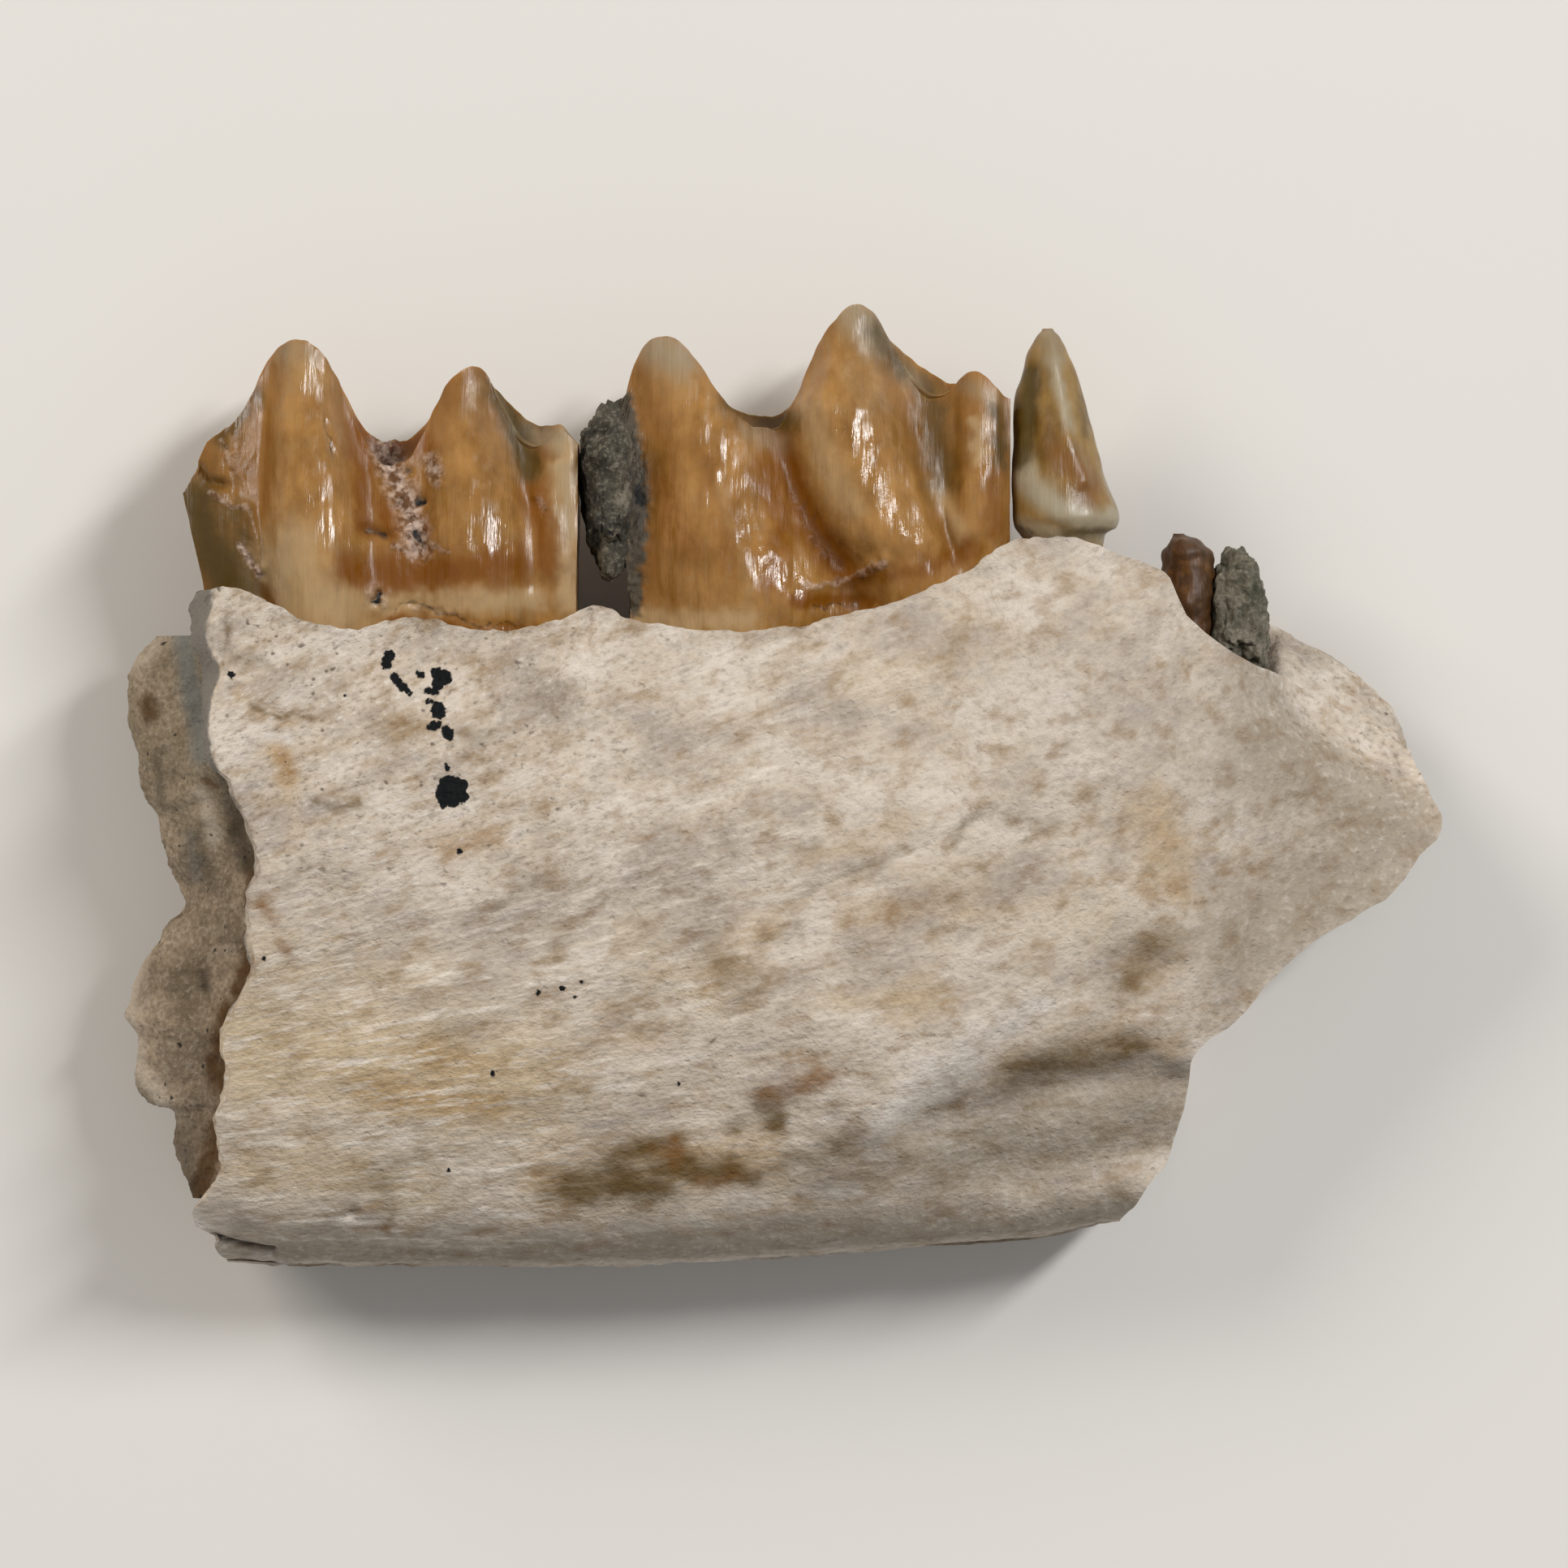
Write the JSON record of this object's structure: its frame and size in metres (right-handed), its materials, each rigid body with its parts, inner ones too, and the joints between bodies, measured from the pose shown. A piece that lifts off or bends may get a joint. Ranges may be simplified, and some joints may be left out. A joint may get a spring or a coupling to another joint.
{
  "type": "fossil jaw fragment with teeth",
  "caption": "Broken lower jaw of a small fossil ruminant with molars, a premolar spire, a root stub and sediment, lying on its side.",
  "frame": {"origin": "on the resting surface, under the middle of the whole fragment", "axes": "+X along the tooth row towards the front of the animal, +Y from the lower border to the tooth tips, +Z from the tongue side it lies on to the cheek side"},
  "size_m": [0.0234, 0.017, 0.0053],
  "materials": {
    "fossil_bone": "matte cream fossil bone, porous, with black specks and brown stains",
    "tooth_enamel": "glossy amber enamel with vertical ridges",
    "weathered_enamel": "satin olive and grey enamel, broken",
    "stained_dentine": "dark brown broken dentine",
    "grey_sediment": "rough dark grey sediment",
    "tan_sediment": "rough grey-tan granular sediment"
  },
  "bodies": {
    "root": {"jawbone": "fossil_bone", "rear_molar": "tooth_enamel", "front_molar": "tooth_enamel", "broken_premolar": "weathered_enamel", "root_stub": "stained_dentine", "sediment_between_molars": "grey_sediment", "sediment_in_socket": "grey_sediment", "sediment_in_break": "tan_sediment"}
  },
  "joints": []
}
